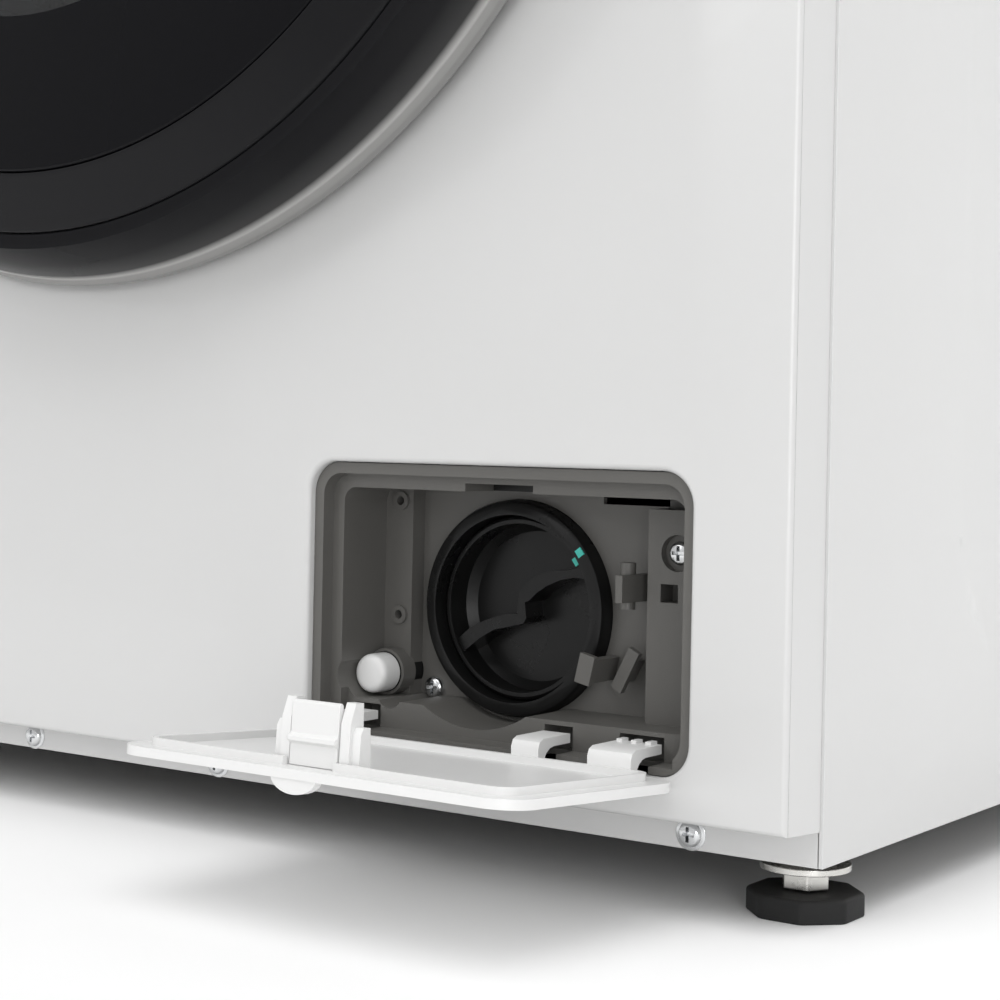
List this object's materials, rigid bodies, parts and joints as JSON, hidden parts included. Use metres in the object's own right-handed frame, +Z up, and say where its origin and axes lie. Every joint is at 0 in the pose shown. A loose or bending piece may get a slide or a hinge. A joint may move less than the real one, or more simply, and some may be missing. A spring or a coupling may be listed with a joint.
{
  "type": "front load washing machine",
  "caption": "White front load washing machine with a round dark glazed door, top drawer and dial panel, and an open flap in the lower corner showing the drain filter",
  "frame": {"origin": "on the floor under the middle of the whole object, flap open", "axes": "+Z up, the door faces -Y, +X is to the right seen from the front"},
  "size_m": [0.595, 0.678, 0.85],
  "materials": {
    "white_enamel": "gloss",
    "white_plastic": "satin",
    "dark_housing": "satin",
    "black_plastic": "satin",
    "zinc_plate": "satin",
    "screw_chrome": "polished",
    "foot_rubber": "matte",
    "ring_titan": "satin",
    "window_smoke": "gloss",
    "bowl_glass": "gloss",
    "grey_rubber": "matte",
    "black_rubber": "matte",
    "tub_plastic": "matte",
    "cast_weight": "matte",
    "drum_steel": "satin",
    "bare_aluminium": "satin",
    "bearing_steel": "satin",
    "galvanised": "matte",
    "lens_black": "gloss",
    "button_grey": "satin",
    "knob_silver": "satin"
  },
  "bodies": {
    "cabinet": {"base_pan": "dark_housing", "side_panel_right": "white_enamel", "side_panel_left": "white_enamel", "front_panel": "white_enamel", "kick_rail": "white_enamel", "top_cover": "white_plastic", "spring_brace": "galvanised", "rear_panel": "galvanised", "rear_service_cover": "galvanised", "inlet_valve": "white_plastic", "cable_gland": "black_plastic", "transit_plugs": "white_plastic", "casing_screws": "screw_chrome", "foot_lock_nuts": "zinc_plate", "door_lock": "black_plastic", "hinge_bracket": "zinc_plate", "door_boot": "grey_rubber", "damper_cylinders": "black_plastic", "suspension_springs": "zinc_plate", "tub_hoses": "black_rubber", "outlet_hose": "tub_plastic", "drain_pump": "tub_plastic", "recess_housing": "dark_housing", "control_fascia": "white_plastic", "display_lens": "lens_black", "drawer_housing": "tub_plastic"},
    "door": {"door_ring": "ring_titan", "door_window": "window_smoke", "door_bowl": "bowl_glass", "door_frame": "white_plastic", "door_hinge_arm": "zinc_plate"},
    "hook": {"door_hook": "zinc_plate"},
    "tub": {"tub_front": "tub_plastic", "tub_rear": "tub_plastic", "counterweights": "cast_weight", "drum_bearings": "bearing_steel", "drive_motor": "bare_aluminium", "drive_belt": "black_rubber", "damper_rods": "tub_plastic"},
    "drum": {"drum_shell": "drum_steel", "drum_lifters": "white_plastic", "drum_spider": "bare_aluminium", "drum_pulley": "bare_aluminium"},
    "motor_rotor": {"motor_pulley": "zinc_plate"},
    "drawer": {"drawer_tray": "white_plastic", "drawer_front": "white_plastic"},
    "knob": {"program_knob": "knob_silver"},
    "start": {"start_button": "button_grey"},
    "power": {"power_button": "button_grey"},
    "option": {"option_button": "button_grey"},
    "flap": {"flap_panel": "white_plastic"},
    "latch": {"flap_latch": "white_plastic"},
    "seal": {"filter_seal": "black_rubber"},
    "cap": {"filter_cap": "black_plastic"},
    "impeller": {"pump_impeller": "black_plastic"},
    "plug": {"drain_plug": "white_plastic"},
    "foot_fl": {"foot_front_left": "foot_rubber"},
    "foot_fr": {"foot_front_right": "foot_rubber"},
    "foot_rl": {"foot_rear_left": "foot_rubber"},
    "foot_rr": {"foot_rear_right": "foot_rubber"}
  },
  "joints": [
    {"name": "door_hinge", "type": "hinge", "parent": "cabinet", "child": "door", "pos_m": [-0.256, -0.26052, 0.4485], "axis": [0, 0, -1], "range_deg": [0, 150]},
    {"name": "hook_pivot", "type": "hinge", "parent": "door", "child": "hook", "pos_m": [0.222, -0.26252, 0.4485], "axis": [0, 0, 1], "range_deg": [0, 6], "stiffness_Nm_per_rad": 0.6},
    {"name": "tub_bounce", "type": "slide", "parent": "cabinet", "child": "tub", "axis": [0, 0, 1], "range_m": [-0.008, 0.008], "stiffness_N_per_m": 18000, "springref_m": 0.01962, "deforming": ["suspension_springs", "tub_hoses", "door_boot"]},
    {"name": "drum_spin", "type": "hinge", "parent": "tub", "child": "drum", "pos_m": [0, -0.01052, 0.4485], "axis": [0, 1, 0], "continuous": true},
    {"name": "motor_spin", "type": "hinge", "parent": "tub", "child": "motor_rotor", "pos_m": [-0.105, 0.20948, 0.122], "axis": [0, 1, 0], "continuous": true},
    {"name": "drawer_slide", "type": "slide", "parent": "cabinet", "child": "drawer", "axis": [0, -1, 0], "range_m": [0, 0.2]},
    {"name": "knob_turn", "type": "hinge", "parent": "cabinet", "child": "knob", "pos_m": [0, -0.25052, 0.7775], "axis": [0, 1, 0], "continuous": true},
    {"name": "start_press", "type": "slide", "parent": "cabinet", "child": "start", "axis": [0, 1, 0], "range_m": [0, 0.002], "stiffness_N_per_m": 800},
    {"name": "power_press", "type": "slide", "parent": "cabinet", "child": "power", "axis": [0, 1, 0], "range_m": [0, 0.002], "stiffness_N_per_m": 800},
    {"name": "option_press", "type": "slide", "parent": "cabinet", "child": "option", "axis": [0, 1, 0], "range_m": [0, 0.002], "stiffness_N_per_m": 800},
    {"name": "flap_hinge", "type": "hinge", "parent": "cabinet", "child": "flap", "pos_m": [0.182, -0.24402, 0.0435], "axis": [1, 0, 0], "range_deg": [-86, 0]},
    {"name": "latch_flex", "type": "hinge", "parent": "flap", "child": "latch", "pos_m": [0.18015, -0.32279, 0.04956], "axis": [1, 0, 0], "range_deg": [-6, 0], "stiffness_Nm_per_rad": 0.4},
    {"name": "filter_pull", "type": "slide", "parent": "cabinet", "child": "seal", "axis": [0, -1, 0], "range_m": [0, 0.1]},
    {"name": "filter_turn", "type": "hinge", "parent": "seal", "child": "cap", "pos_m": [0.1687, -0.21052, 0.0892], "axis": [0, -1, 0], "range_deg": [0, 180]},
    {"name": "impeller_spin", "type": "hinge", "parent": "cabinet", "child": "impeller", "pos_m": [0.1687, -0.11052, 0.0892], "axis": [0, 1, 0], "continuous": true},
    {"name": "plug_pull", "type": "slide", "parent": "cabinet", "child": "plug", "axis": [0, -1, 0], "range_m": [0, 0.04]},
    {"name": "foot_fl_turn", "type": "hinge", "parent": "cabinet", "child": "foot_fl", "pos_m": [-0.2795, -0.20552, 0.02], "axis": [0, 0, 1], "continuous": true},
    {"name": "foot_fr_turn", "type": "hinge", "parent": "cabinet", "child": "foot_fr", "pos_m": [0.2795, -0.20552, 0.02], "axis": [0, 0, 1], "continuous": true},
    {"name": "foot_rl_turn", "type": "hinge", "parent": "cabinet", "child": "foot_rl", "pos_m": [-0.2795, 0.28448, 0.02], "axis": [0, 0, 1], "continuous": true},
    {"name": "foot_rr_turn", "type": "hinge", "parent": "cabinet", "child": "foot_rr", "pos_m": [0.2795, 0.28448, 0.02], "axis": [0, 0, 1], "continuous": true}
  ],
  "couplings": [
    {"joint": "motor_spin", "follows": "drum_spin", "ratio": 13.636}
  ]
}
